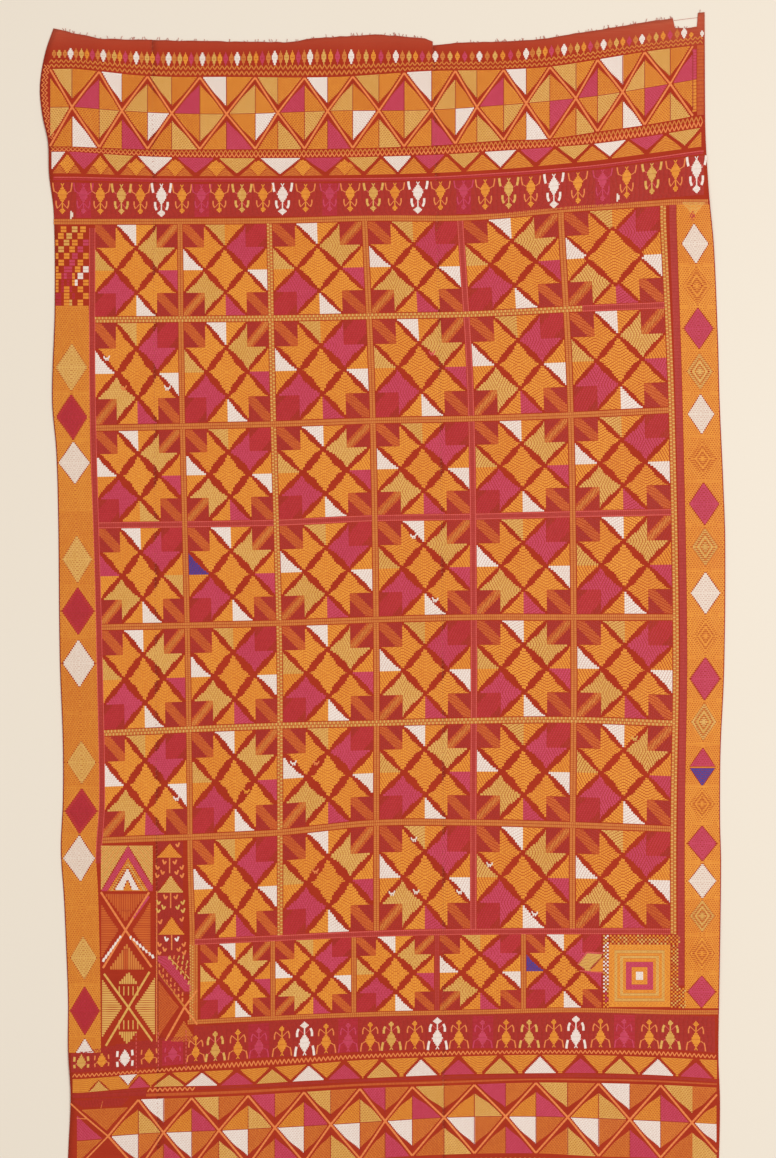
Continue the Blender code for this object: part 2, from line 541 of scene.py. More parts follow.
def tile_shapes(arrows, sides, heart_size, lines):
    """The star tile on a square of four counts: a heart, four arrows and four split sides."""
    made = []
    for k, (arrow, turns) in enumerate(zip(arrows, (1, 0, 3, 2))):
        run = ("along", "across")[k % 2]
        middle = quarter_turned([(1, 1)], turns)[0]
        streak, bright = (
            [(1, 1), (out, 1), (2, 3 - out), (2, 2), (3 - out, 2), (1, out)]
            for out in (STREAK_REACH[arrow], BRIGHT_REACH)
        )
        corner = [("madder", box(1, 1, 2, 2), 0)]
        corner.append(("ruby" if arrow == "M" else "rust", streak, 0))
        if arrow == "G":
            corner.append(("dull_orange", bright, 0))
        arrowhead = [(0, 1), (1, 2), (1, 1), (2, 1), (1, 0)]
        corner.append((FLOSS_OF[arrow], arrowhead, lines * ARROW_SHARE))
        for floss, outline, ground in corner:
            made.append(shape(floss, quarter_turned(outline, turns), ground, run, middle))
    for k, turns in enumerate((0, 3, 2, 1)):
        run = ("along", "across")[k % 2]
        middle = quarter_turned([(0, 2)], turns)[0]
        halves = ([(-1, 2), (0, 2), (0, 1)], [(0, 2), (1, 2), (0, 1)])
        for letter, half in zip(sides[2 * k:], halves):
            outline = quarter_turned(half, turns)
            made.append(shape(FLOSS_OF[letter], outline, lines * SIDE_SHARE, run, middle))
    made.append(shape("orange", lozenge(0, 0, heart_size, heart_size), lines, "along", (0, 0)))
    return made


def darn_tile(row, column, kind, place, pitch, step):
    """One tile of the field. Its ground lines widen towards the lower left."""
    arrows, sides = CHANGED_TILES.get((row, column), TILES[kind])
    heart_size = LARGE_HEART if (row, column) == LARGE_HEART_TILE else HEART_SIZE
    towards_lower_left = (row / 7 + (6 - column) / 6) / 2
    lines = LINE_LEAST + LINE_GAIN * towards_lower_left + chance.uniform(-LINE_UNEVEN, LINE_UNEVEN)
    inner = 1 - 2 * BAND

    def in_tile(u, v):
        return place(column - 1 + BAND + inner * (u + 2) / 4, row - 1 + BAND + inner * (2 - v) / 4)

    gap = GAP_LEAST + GAP_GAIN * column / 6
    darn(tile_shapes(arrows, sides, heart_size, lines), in_tile, step, gap, pitch)


for row in range(1, 8):
    for column in range(1, 7):
        if (row, column) != PATCHED_TILE:
            darn_tile(row, column, "ab"[(row + column) % 2], on_field, TILE_PITCH, TILE_STEP)
for column in range(1, 6):
    darn_tile(8, column, "ba"[column % 2], on_small_row, SMALL_PITCH, SMALL_STEP)


# -------------------------------------------------------------- the bands between the tiles
BAND_HALF, BAND_GAP = 0.029, 0.002
# A float's length in a band, in tiles, and how much of it is left open at each of its ends.
COUNT_OF = {"across": 1 / 50, "along": 1 / 54}
PLAIN_OPEN, EDGED_OPEN = 0.06, 0.05
LIGHT_ROWS, LIGHT_COLUMNS = (1, 5), (2, 6)


def two_lanes(first, second):
    """The lanes of a band whose two flosses take turns, checkerwise."""
    low, high = BAND_GAP, BAND_HALF - BAND_GAP
    return [(-high, -low, (first, second)), (low, high, (second, first))]


PLAIN, CHECKED = two_lanes("dull_orange", "dull_orange"), two_lanes("gold", "dull_orange")
BRICK = two_lanes("brick", "brick")
# A dull red band between two pale lines.
EDGED = [
    (-0.030, -0.019, ("pale_pink",)), (-0.017, 0, ("brick",)), (0, 0.017, ("brick",)),
    (0.019, 0.030, ("pale_pink",)),
]


def band(way, line, first, last, lanes=PLAIN, place=on_field):
    """A band beside a line of the field, from one count to another, in lanes of short floats.

    Columns of a lane: low side, high side, the flosses that take turns in it."""
    parts = max(1, round((last - first) / COUNT_OF[way]))
    open_end = EDGED_OPEN if lanes is EDGED else PLAIN_OPEN
    for low, high, flosses in lanes:
        for k in range(parts):
            a, b = (first + (last - first) * (k + end) / parts for end in (open_end, 1 - open_end))
            corners = box(a, line + low, b, line + high)
            if way == "along":
                corners = box(line + low, a, line + high, b)
            add_stitch(flosses[k % len(flosses)], corners, place)


band("across", 0, -0.44, 6.44)
for row in (1, 2, 4, 5, 6):
    last = 6 - BAND_HALF
    if row == 1:
        last = 5.16
        band("across", row, last, 6 - BAND_HALF, EDGED)
    band("across", row, BAND_HALF, last, CHECKED if row in LIGHT_ROWS else PLAIN)
for column in range(6):
    band("across", 3, column + BAND_HALF, column + 1 - BAND_HALF, EDGED)
band("across", 7, 1 + BAND_HALF, 6 - BAND_HALF, EDGED)
for row in range(7):
    first = row if row == 3 else row + BAND_HALF
    last = row + 1 if row == 2 else row + 1 - BAND_HALF
    for column in (2, 3, 5):
        band("along", column, first, last, CHECKED if column in LIGHT_COLUMNS else PLAIN)
    band("along", 1, first, last if row < 6 else row + 1 + BAND_HALF)
    band("along", 4, first, last, EDGED)
    band("along", 6, row + BAND_HALF, row + 1 + BAND_HALF, CHECKED)
for column, lanes in (
    (-0.085, CHECKED), (-0.03, PLAIN), (1, PLAIN), (2, PLAIN), (3, BRICK), (4, PLAIN),
):
    band("along", column, 7 + BAND_HALF, 8 - BAND_HALF, lanes, on_small_row)
band("across", 8, 0.95, 6.44)

# The magenta stripes inside the side borders. Columns: line, foot, top, left, right, pitch
# between rows, and the pale lines beside it.
for line, foot, top, left, right, pitch, pale_lines in (
    (column_lines[0], -497, 742, -3.4, 3.4, 1.7, (-4.9, 5.2)),
    (right_stripe, -735, 787, -STRIPE_WIDTH, 6, 2.5, ()),
):
    halves = [shape("brick", box(left, foot, 0, top)), shape("brick", box(0, foot, right, top))]
    darn(halves, beside(line), step=6.5, gap=0.2, pitch=pitch)
    for u in pale_lines:
        strand("pale_pink", [(u, top), (u, foot)], 1.5, beside(line), step=7.0)

# --------------------------------------------------------------------------- the side borders
# The lozenges down each side border. Columns: along, floss of the upper and lower half, half
# width, half height.
LEFT_LOZENGES = [
    (470, "G", 30, 47), (373, "K", 30, 45), (284, "C", 33, 42), (96, "G", 29, 47),
    (-5, "K", 31, 47), (-107, "C", 31, 47), (-300, "G", 28, 43), (-395, "K", 31, 45),
    (-487, "C", 32, 46), (-681, "G", 28, 43), (-784, "K", 32, 48),
]
RIGHT_LOZENGES = [
    (711, "C", 28, 40), (629, "o", 29, 37), (546, "M", 30, 41), (462, "g", 26, 36),
    (379, "C", 27, 40), (292, "o", 25, 34), (204, "M", 29, 42), (120, "g", 25, 37),
    (30, "C", 29, 42), (-54, "o", 24, 34), (-137, "M", 31, 43), (-221, "g", 27, 37),
    (-309, "V", 28, 38), (-381, "o", 26, 31), (-458, "M", 31, 35), (-531, "C", 29, 35),
    (-599, "g", 26, 32), (-672, "o", 26, 33), (-747, "M", 31, 32),
]
# The two flosses that alternate in a lozenge of rings, and the rings' sizes.
RINGS = {"o": ("orange", "amber"), "g": ("gold", "amber")}
RING_SIZES = (1.0, 0.76, 0.67, 0.42, 0.33)
SIDE_STEP, SIDE_SLOPE = 8.0, 1.45


def darn_side(lozenges, ground_floss, place, half, low, high, gap):
    """A side border: one floss all over, in nested diamonds, with a lozenge at each heart."""
    rows = sorted(lozenges)
    limits = [low] + [(a[0] + b[0]) / 2 for a, b in zip(rows, rows[1:])] + [high]
    for (along, floss, wide, tall), bottom, top in zip(rows, limits, limits[1:]):
        heart = (0, along)
        shapes = [shape(ground_floss, box(-half, bottom - gap, half, top + gap))]
        if floss == "V":
            upper = [(-wide, along + 1), (0, along + tall), (wide, along + 1)]
            lower = [(-wide, along - 2), (0, along - tall), (wide, along - 2)]
            shapes += [shape("magenta", upper, 0.6), shape("violet", lower, 0.6)]
        elif floss in RINGS:
            for ring, size in enumerate(RING_SIZES):
                outline = lozenge(0, along, wide * size, tall * size)
                shapes.append(shape(RINGS[floss][ring % 2], outline, 0.1))
        elif floss == "K":
            shapes.append(shape("ruby", lozenge(0, along, wide, tall), 0.4))
            shapes.append(shape("crimson", lozenge(0, along, wide * 0.78, tall * 0.78)))
        else:
            bare = 0.6 if floss in "MC" else 0.2
            shapes.append(shape(FLOSS_OF[floss], lozenge(0, along, wide, tall), bare))
        darn(shapes, place, SIDE_STEP, gap, heart=heart, slope=SIDE_SLOPE)


# The foot of the left border is a white triangle.
LEFT_FOOT, FOOT_TOP, FOOT_HALF = -866, -836, 20

left_half, right_half = LEFT_BORDER_WIDTH / 2, RIGHT_BORDER_WIDTH / 2
darn_side(
    LEFT_LOZENGES, "amber", on_left_border, left_half, low=FOOT_TOP, high=590, gap=0.32,
)
darn_side(
    RIGHT_LOZENGES, "orange", on_right_border, right_half, low=-779, high=787, gap=0.48,
)
darn(
    [
        shape("amber", box(-left_half, LEFT_FOOT, left_half, FOOT_TOP + 0.2)),
        shape("white", upright(0, LEFT_FOOT, FOOT_TOP - 1, FOOT_HALF), 0.6),
    ],
    on_left_border, SIDE_STEP, gap=0.22, heart=(0, LEFT_FOOT), slope=SIDE_SLOPE,
)

# The checked corner at the top of the left border, twelve rows down, two counts to a check.
CHECKED_CORNER = [
    "..OO..GG.OO.",
    ".OO.GG..OO..",
    "O..GG.OO..MM",
    ".GG..OO.MM..",
    "O..OO.MM..OO",
    ".OO..MM.OO..",
    "O..MMM.OO.WW",
    "OOKMKKO.WW..",
    "O.K.K.OW..OO",
    "O.KOOK..OO..",
    "KK.OO.K...OO",
    "KK.OOG..OO..",
]
CHECK_WIDTH, CHECK_HEIGHT, CHECK_TOP = LEFT_BORDER_WIDTH / 12, 13.0, 746
for k, row in enumerate(CHECKED_CORNER):
    top = CHECK_TOP - k * CHECK_HEIGHT
    end = 0
    for letter, run in groupby(row):
        start, end = end, end + len(list(run))
        if letter != ".":
            left, right = (CHECK_WIDTH * (count - 6) for count in (start, end))
            outline = box(left, top - CHECK_HEIGHT, right, top - 0.6)
            check = shape(FLOSS_OF[letter], outline)
            darn([check], on_left_border, CHECK_HEIGHT, gap=0.5, pitch=2.7)

# ----------------------------------------------------------------------- the upper border
TEETH_STEP, TEETH_GAP = 5.0, 0.3
LATTICE_STEP, LATTICE_GAP, LATTICE_SLOPE = 6.6, 0.36, 1.4
LATTICE_LINE, LATTICE_GROUND, SPLIT_LINE = 3.8, 3.7, 1.3
UPPER_TIP, LOWER_TIP = 8.5, 12.0

UPPER_CROSSINGS = [
    -705, -605, -508, -411, -304, -204, -107, -7, 96, 184, 280, 377, 468, 561, 654,
]
UPPER_APEXES = [-648, -552, -458, -356, -248, -152, -58, 42, 142, 236, 326, 419, 511, 605]
# Floss of each lozenge's quarters: upper left, upper right, lower left, lower right.
UPPER_LOZENGES = ["-A-G"] + ["MAAG", "GAAW"] * 4 + ["MAAG", "GAAM"] * 2 + ["M-A-"]
UPPER_SPANDRELS, LOWER_SPANDRELS = "GWGWGWGWGWGWG", "WMGMGMGMGWGWG"

LOWER_CROSSINGS = [-535, -427, -319, -210, -101, 5, 120, 240, 361, 482, 603, 722]
LOWER_APEXES = [-476, -372, -262, -153, -44, 58, 179, 299, 421, 542, 662]


def lattice_part(letter, outline, heart, tip):
    return shape(FLOSS_OF[letter], outline, LATTICE_GROUND, "along", heart, tip)


def lattice_shapes(crossings, apexes, quarters, above, below, top, bottom, tip, orange):
    """The lozenges of a lattice in four quarters each, and the split triangles between.

    orange is the letter of the plain halves of the triangles."""
    made = []
    for letters, left, right, apex in zip(quarters, crossings, crossings[1:], apexes):
        corners = [
            [(left, 0), (apex, top), (apex, 0)],
            [(apex, 0), (apex, top), (right, 0)],
            [(left, 0), (apex, 0), (apex, bottom)],
            [(apex, 0), (right, 0), (apex, bottom)],
        ]
        for letter, outline in zip(letters, corners):
            if letter != "-":
                made.append(lattice_part(letter, outline, (apex, 0), tip))
    for letters, level in ((above, top), (below, bottom)):
        for letter, low, high, middle in zip(letters, apexes, apexes[1:], crossings[1:]):
            halves = [
                (letter, [(low, top), (middle, top), (middle, 0)]),
                (orange, [(middle, top), (high, top), (middle, 0)]),
            ]
            if level == bottom:
                halves = [
                    (orange, [(low, bottom), (middle, 0), (middle, bottom)]),
                    (letter, [(middle, bottom), (middle, 0), (high, bottom)]),
                ]
            for half_letter, outline in halves:
                made.append(lattice_part(half_letter, outline, (middle, level), tip))
    return made


def lattice_lines(crossings, apexes, place, top, bottom, whole_ends=True):
    """The pale lines round the lozenges, and the thin dark ones that split them."""
    for k, (left, right, apex) in enumerate(zip(crossings, crossings[1:], apexes)):
        left_shows, right_shows = whole_ends or k, whole_ends or k + 1 < len(apexes)
        for level in (top, bottom):
            if left_shows:
                strand("pale_orange", [(left, 0), (apex, level)], LATTICE_LINE, place, step=7.0)
            if right_shows:
                strand("pale_orange", [(apex, level), (right, 0)], LATTICE_LINE, place, step=7.0)
        splits = [[(apex, top - 12), (apex, bottom + 12)]]
        if left_shows:
            splits.append([(left + 8, 0), (apex, 0)])
        if right_shows:
            splits.append([(apex, 0), (right - 8, 0)])
        if k:
            splits += [[(left, level), (left, level * 0.2)] for level in (top, bottom)]
        for split in splits:
            strand("madder", split, SPLIT_LINE, place, step=5.0, over=SPLIT_OVER)


def zigzag(floss, place, first, last, low, high, period=9.5, width=2.2):
    """A zigzag line along a border, between two heights."""
    legs = round((last - first) / period * 2)
    path = [(first + (last - first) * k / legs, high if k % 2 else low) for k in range(legs + 1)]
    strand(floss, path, width, place)


DROP = [(0, 1), (1, 0.25), (0.8, -0.3), (0, -1), (-0.8, -0.3), (-1, 0.25)]
# Half widths and half heights.
WHITE_DROP, SMALL_DROP = (5.6, 11.0), (4.6, 9.8)


def drop(x, height, half_width, half_height, floss, place):
    """One darned drop, pointed above and below."""
    outline = placed(DROP, x, height, half_width, half_height)
    darn([shape(floss, outline)], place, step=12, gap=0.2, pitch=2.0)


def drop_row(middles, floss_between, height, place):
    """White drops, with five smaller ones between each two."""
    for x, following in zip(middles, middles[1:] + [None]):
        drop(x, height, *WHITE_DROP, "white", place)
        if following is None:
            break
        for j, floss in enumerate(floss_between, 1):
            drop(x + (following - x) / 6 * j, height, *SMALL_DROP, floss, place)


VASE_BODY = [(0, 17), (11.5, 1), (8, -9), (0, -21), (-8, -9), (-11.5, 1)]
VASE_FOOT = [(0, -29), (9.5, -36.5), (0, -45), (-9.5, -36.5)]
# A vase worked smaller than this has no foot and only short dashes beside it.
FOOTED_SIZE = 0.8
VASE_LIMB, WIDE_LIMB, VASE_LINK = 2.7, 4.6, 1.6


def vase_limbs(x, height, way, floss, place, size, horn, arm):
    """The lines of a vase, worked over its band: stem, horns and curled arms."""
    limb, link, width = floss, floss, VASE_LIMB
    if floss in ("white", "gold"):
        link, width = "pale_pink", WIDE_LIMB
    elif floss == "orange":
        limb = link = "pale_orange"
    wide, tall = (1 + size) / 2, size if floss == "white" else size * 0.92

    def line(kind, points, width):
        strand(kind, placed(points, x, height, wide, way * tall), width, place, 8.0, OVER)

    for side in (-1, 1):
        if size < FOOTED_SIZE:
            line(limb, [(side * 16, 18), (side * 17, 4)], width)
            line(limb, [(side * 16, -20), (side * 17, -8)], width)
            line(link, [(side * 9, 1), (side * 16, 4)], VASE_LINK)
            continue
        line(floss, [(0, 15), (side * 3, 20)], 1.8)
        line(link, [(side * 9, 1), (side * (horn - 3), 5)], VASE_LINK)
        line(limb, [(side * (horn - 2), 4), (side * horn, 12), (side * (horn + 1), 21)], width)
        line(link, [(side, -19), (side * (arm - 4), -29)], VASE_LINK)
        line(limb, [(side * (arm - 3), -30.5), (side * arm, -23), (side * arm, -14)], width)
    if size > FOOTED_SIZE:
        line(floss, [(0, -18), (0, -31)], 2.4)


UPPER_VASE_FLOSS = "OMOGOW" * 5
LOWER_VASE_FLOSS = "GOWOMOGOMOWOMOGOWOMOGOWOMOGO"
# Columns: across, size. The first few of the lower border were worked smaller.
UPPER_VASES = [
    (x, 0.97) for x in (
        -624, -583, -550, -509, -472, -431, -391, -353, -318, -274, -233, -195, -150, -103, -63,
        -18, 24, 69, 113, 158, 200, 246, 289, 334, 381, 429, 476, 525, 571, 612,
    )
]
LOWER_VASES = [
    (-587, 0.62), (-547, 0.62), (-502, 0.76), (-455, 0.76), (-409, 0.76), (-364, 0.82),
] + [
    (x, 0.96) for x in (
        -326, -282, -241, -196, -152, -110, -67, -24, 17, 63, 107, 149, 195, 241, 286, 334, 377,
        425, 471, 520, 561, 611,
    )
]
DROPS = [
    -608, -544, -480, -417, -351, -283, -210, -141, -61, 26, 103, 189, 280, 354, 431, 506, 588,
]
DROP_FLOSS = ["dull_orange", "gold", "orange", "magenta", "dull_orange"]
UPPER_TEETH = [
    -647, -582, -517, -444, -364, -284, -200, -111, -36, 30, 91, 159, 230, 299, 374, 443, 515,
    589, 660,
]
LOWER_TEETH = [
    -416, -352, -284, -215, -144, -75, -1, 75, 148, 229, 307, 386, 463, 537, 611,
]
# The ground beside the teeth of each floss, at the foot and at the tip.
TOOTH_GROUNDS = {"W": (2.6, 2.2), "G": (3.0, 3.6), "M": (2.2, 4.4)}


def tooth(letter, outline, heart):
    """One tooth, with the bare line that its floss has beside it."""
    ground, tip = TOOTH_GROUNDS[letter]
    return shape(FLOSS_OF[letter], outline, ground, "along", heart, tip)


def vase_band(vases, letters, panel, middle, way, place, block, arm, horn=18.0):
    """A madder band with a row of vases on it. Columns of a vase: across, size.

    The magenta vases stand on a crimson block, whose half width is given. horn and arm are how
    far those reach out from the stem."""
    shapes = [shape("madder", panel, 0, "across")]
    for (x, size), letter in zip(vases, letters):
        floss = FLOSS_OF[letter]
        footed = size > FOOTED_SIZE
        if floss == "magenta":
            low, high = sorted((middle + 19 * way, middle - (45 if footed else 26) * way))
            shapes.append(shape("crimson", box(x - block, low, x + block, high)))
        wide, tall, foot_wide = (1, 1, 1) if floss == "white" else (0.9, 0.88, 0.68)
        if footed:
            for points, wide in ((VASE_BODY, wide), (VASE_FOOT, foot_wide)):
                outline = placed(points, x, middle, wide * size, way * tall * size)
                shapes.append(shape(floss, outline, 0.2))
        else:
            shapes.append(shape(floss, placed(VASE_BODY, x, middle, wide, way * tall * 0.85), 0.3))
    darn(shapes, place, step=9.0, gap=0.12, pitch=2.4)
    for (x, size), letter in zip(vases, letters):
        vase_limbs(x, middle, way, FLOSS_OF[letter], place, size, horn, arm)


# The upper border, from the drops down to the frame.
drop_row(DROPS, DROP_FLOSS, 103, on_upper_border)
for x, height, half_width, half_height, floss in (
    (-640, 103, 4.2, 8.5, "dull_orange"), (-630, 103, 4.2, 8.5, "gold"),
    (-619, 103, 4.2, 8.5, "dull_orange"), (602, 98, 4.0, 6, "orange"), (623, 98, 3.6, 7, "white"),
):
    drop(x, height, half_width, half_height, floss, on_upper_border)
for low, high in ((80.5, 86), (88, 93.5)):
    zigzag("dull_orange", on_upper_border, -650, 624, low, high)
darn(
    lattice_shapes(
        UPPER_CROSSINGS, UPPER_APEXES, UPPER_LOZENGES, UPPER_SPANDRELS, LOWER_SPANDRELS, 78,
        -70, UPPER_TIP, "A",
    )
    + [shape("magenta", box(605, 0, 612, 70)), shape("amber", box(605, -62, 612, 0))],
    on_upper_border, LATTICE_STEP, LATTICE_GAP, slope=LATTICE_SLOPE,
)
lattice_lines(UPPER_CROSSINGS, UPPER_APEXES, on_upper_border, 77, -69, False)
darn([shape("rust", box(613.5, -70, 626, 78))], on_upper_border, step=8, gap=0.3)
zigzag("pale_orange", on_upper_border, -646, 624, -86.5, -79, period=8.5, width=2.1)
zigzag("dull_orange", on_upper_border, -646, 624, -71.5, -79, period=8.5, width=2.1)
for inset in (6, 12):
    path = [(inset + (3 if k % 2 else -3), 1060 - k * 5) for k in range(30)]
    strand("pale_orange", path, 1.8, beside(left_edge))
teeth = [
    shape("burnt_orange", box(-645, -124, -73, -88)), shape("amber", box(-73, -124, 622, -88)),
]
valleys = [(tip + following) / 2 for tip, following in zip(UPPER_TEETH, UPPER_TEETH[1:])]
for x in valleys[:8]:
    teeth.append(shape("orange", lozenge(x, -106, 18, 19), 0.4, "along", (x, -106)))
for k, (tip, low, high) in enumerate(zip(UPPER_TEETH, [-645] + valleys, valleys)):
    outline = [(low, -88), (min(high, 624), -88), (tip, -123)]
    if k == 0:
        # The selvedge cuts the first tooth off.
        outline[-1] = (low, -121)
    teeth.append(tooth("WMG"[k % 3], outline, (tip, -88)))
darn(teeth, on_upper_border, TEETH_STEP, TEETH_GAP)
darn([shape("ruby", box(-642, -136.5, 625, -130))], on_upper_border, step=9, gap=0.3)
strand("pale_pink", [(-640, -131.5), (626, -131.5)], 1.6, on_upper_border, 7.0, over=SPLIT_OVER)
vase_band(
    UPPER_VASES, UPPER_VASE_FLOSS, box(-640, -205, 626, -139), -159, 1, on_upper_border, 14, 12.4,
)

# ------------------------------------------------------------------------- the lower border
vase_band(
    LOWER_VASES, LOWER_VASE_FLOSS,
    [(-607, 132), (648, 132), (648, 200), (-368, 200), (-368, 183), (-480, 181), (-607, 168)],
    152, -1, on_lower_border, 20, 14.8,
)
for x in (-480, -437, -383):
    for level in range(126, 190, 7):
        strand("pale_pink", [(x, level), (x, level + 4.5)], 1.8, on_lower_border, over=OVER)
zigzag("pale_orange", on_lower_border, -604, 650, 122.5, 128.5, period=8.5, width=2.0)
teeth = [shape("amber", box(-604, 84, 652, 120))]
for k, tip in enumerate(LOWER_TEETH):
    teeth.append(tooth("GWM"[k % 3], upright(tip, 84, 120, 35), (tip, 84)))
teeth += [
    shape("gold", upright(-553, 84, 113, 21), 1.6, "along", (-553, 84)),
    shape("white", [(-514, 121), (-478, 121), (-496, 93)], 1.2, "along", (-496, 121)),
    shape("magenta", upright(-474, 84, 116, 22), 1.6, "along", (-474, 84)),
]
darn(teeth, on_lower_border, TEETH_STEP, TEETH_GAP)
darn(
    [
        shape("madder", box(-604, 71, -461, 81)), shape("madder", box(-365, 75.5, 652, 81.5)),
        shape("rust", box(-461, 70, 652, 73.5)),
    ],
    on_lower_border, step=6, gap=0.3,
)
zigzag("pale_orange", on_lower_border, -458, -366, 75, 81.5)
LOWER_LOZENGES = ["A" + letter + "WB" for letter in "GMGMGMGMGM"]
LOWER_LAST = [
    ("G", [(542, 66), (603, 66), (603, 0)], (603, 66)),
    ("B", [(603, 66), (651, 66), (651, 53), (603, 0)], (603, 66)),
    ("B", [(542, -72), (603, 0), (603, -72)], (603, -72)),
    ("G", [(603, -72), (603, 0), (651, -56), (651, -72)], (603, -72)),
    ("A", [(603, 0), (651, 53), (651, 0)], (662, 0)),
    ("W", [(603, 0), (651, 0), (651, -56)], (662, 0)),
]
darn(
    lattice_shapes(
        LOWER_CROSSINGS, LOWER_APEXES, LOWER_LOZENGES, "WGMGMGMGW", "MGMGMGMGM", 66, -72,
        LOWER_TIP, "B",
    )
    + [lattice_part(letter, outline, heart, LOWER_TIP) for letter, outline, heart in LOWER_LAST],
    on_lower_border, LATTICE_STEP, LATTICE_GAP, slope=LATTICE_SLOPE,
)
lattice_lines(LOWER_CROSSINGS, LOWER_APEXES[:-1], on_lower_border, 65, -71)
for level in (53, -56):
    strand("pale_orange", [(603, 0), (652, level)], LATTICE_LINE, on_lower_border, step=7.0)

# The mirrored end of the lower border, and its plain row of drops.
for low, high in ((-86, -80.5), (-93.5, -88)):
    zigzag("dull_orange", on_lower_border, -600, 648, low, high)
drop_row(DROPS, DROP_FLOSS, -107, on_lower_border)

# The left end of the lower lattice, which was worked freely.
darn(
    [
        shape("madder", [(-606, 68), (-492, 70), (-508, 55), (-582, 53)], 0, "across"),
        shape("burnt_orange", [(-589, 51), (-493, 52), (-538, 9)], 1.4, "along", (-538, 51)),
        shape("magenta", [(-596, 42), (-596, -4), (-545, -4)], 1.0, "along", (-596, -4)),
        shape("burnt_orange", [(-596, -5), (-545, -5), (-596, -50)], 1.0, "along", (-596, -5)),
    ],
    on_lower_border, step=6, gap=0.3,
)
for width, path in (
    (3.0, [(-608, 62), (-535, 0), (-602, -64)]),
    (1.6, [(-596, 36), (-576, 34)]),
    (1.4, [(-545, 66), (-549, 52)]),
):
    strand("pale_orange", path, width, on_lower_border, step=7.0)

# ------------------------------------------------------ the freely worked lower left corner
# Chevrons, then two crossed lattices, a column of trees and a block of dashes.
chevron_block = [
    shape("gold", box(-549, -549, -448, -462), 0, "along", (-496, -549)),
    shape("magenta", [(-549, -551), (-496, -462), (-448, -541), (-448, -551)], 0.8),
    shape("orange", [(-536, -551), (-496, -486), (-456, -551)], 0.4),
    shape("gold", [(-531, -551), (-496, -494), (-461, -551)], 0.3),
    shape("orange", [(-527, -551), (-497, -500), (-466, -551)], 0.3),
    shape("white", [(-523, -549), (-497, -505), (-474, -549)], 0.8),
    shape("orange", [(-506, -549), (-497, -528), (-488, -549)], 0.6),
]
darn(chevron_block, on_cloth, step=5.4, gap=0.35, heart=(-496, -551))
for k in range(5):
    strand("pale_orange", [(-546 + k * 9, -464), (-548, -468 - k * 16)], width=1.3)
    strand("pale_orange", [(-451 - k * 9, -464), (-449, -468 - k * 14)], width=1.3)

crossed_lattices = [
    shape("rust", [(-545, -556), (-457, -556), (-501, -613)], 1.6, "along", (-501, -556)),
    shape("rust", [(-549, -572), (-513, -627), (-549, -686)], 1.6, "across", (-549, -627)),
    shape("rust", [(-452, -568), (-489, -627), (-452, -684)], 1.6, "across", (-452, -627)),
    shape("dull_orange", [(-535, -704), (-499, -652), (-463, -704)], 1.0, "along", (-499, -704)),
    shape(
        "rust", [(-503, -704), (-503, -664), (-496, -664), (-496, -704)], 0, "along",
        (-499, -704),
    ),
    shape("gold", [(-518, -732), (-495, -707), (-474, -732)], 0.8, "along", (-495, -732)),
    shape("gold", [(-547, -720), (-506, -777), (-547, -838)], 1.0, "across", (-547, -777)),
    shape("gold", [(-443, -716), (-484, -777), (-443, -836)], 1.0, "across", (-443, -777)),
    shape("gold", [(-518, -824), (-477, -824), (-497, -852)], 1.0, "along", (-497, -824)),
]
darn(crossed_lattices, on_cloth, step=34, gap=0.3, pitch=4.4, slope=0.2, cover=0.82)
# Columns: floss, width, longest stitch, points.
for floss, width, step, path in (
    ("pale_orange", 4.2, 8.0, [(-549, -553), (-501, -627), (-545, -701)]),
    ("pale_orange", 4.2, 8.0, [(-455, -553), (-501, -627), (-450, -699)]),
    ("gold", 4.2, 8.0, [(-543, -712), (-495, -777), (-539, -852)]),
    ("gold", 4.2, 8.0, [(-454, -708), (-495, -777), (-448, -844)]),
    ("dull_orange", 4.2, 8.0, [(-436, -709), (-386, -777)]),
    ("pale_orange", 4.2, 8.0, [(-386, -777), (-423, -843)]),
    ("pale_orange", 4.2, 8.0, [(-361, -744), (-386, -777), (-361, -811)]),
    ("pale_orange", 2.0, 8.0, [(-440, -550), (-440, -846)]),
    ("magenta", 4.5, 7.0, [(-455, -561), (-486, -604)]),
):
    strand(floss, path, width, on_cloth, step)
WHITE_DASHES, GOLD_DASHES = 8, 5
for side, foot in ((-1, (-547, -688)), (1, (-443, -680))):
    top = (-501 + side * 9, -638)
    for k in range(WHITE_DASHES):
        x, y = (start + (end - start) * k / WHITE_DASHES for start, end in zip(top, foot))
        strand("white", [(x, y), (x + side * 2.5, y - 7)], width=4.8)
for k in range(GOLD_DASHES):
    for top, foot in ((-736, -754), (-802, -820)):
        strand("gold", [(-513 + 9 * k, top), (-513 + 9 * k, foot)], width=2.2)

# The trees, from the top down. Columns: across, tip, height, floss, floss of the upper fruit
# and of the others.
TREES = [
    (-415, -457, 29, "orange", "pale_orange", "pale_orange"),
    (-413, -519, 35, "gold", "pale_orange", "gold"),
    (-411, -600, 36, "orange", "white", "pale_orange"),
]
TREE_HALF, TRUNK = 27, 30
# Each fruit's distance from the trunk and below the leaves, the upper one first.
FRUIT = [(10.5, 8.5), (24, 19), (14, 28.5), (24.5, 35)]
LONE_FRUIT = [(-399, -461), (-433, -611), (-391, -606)]


def fruit_hook(x, y, side, floss):
    strand(floss, placed([(-4, 2), (0, -4), (3, 5)], x, y, side), width=3.4, over=OVER)


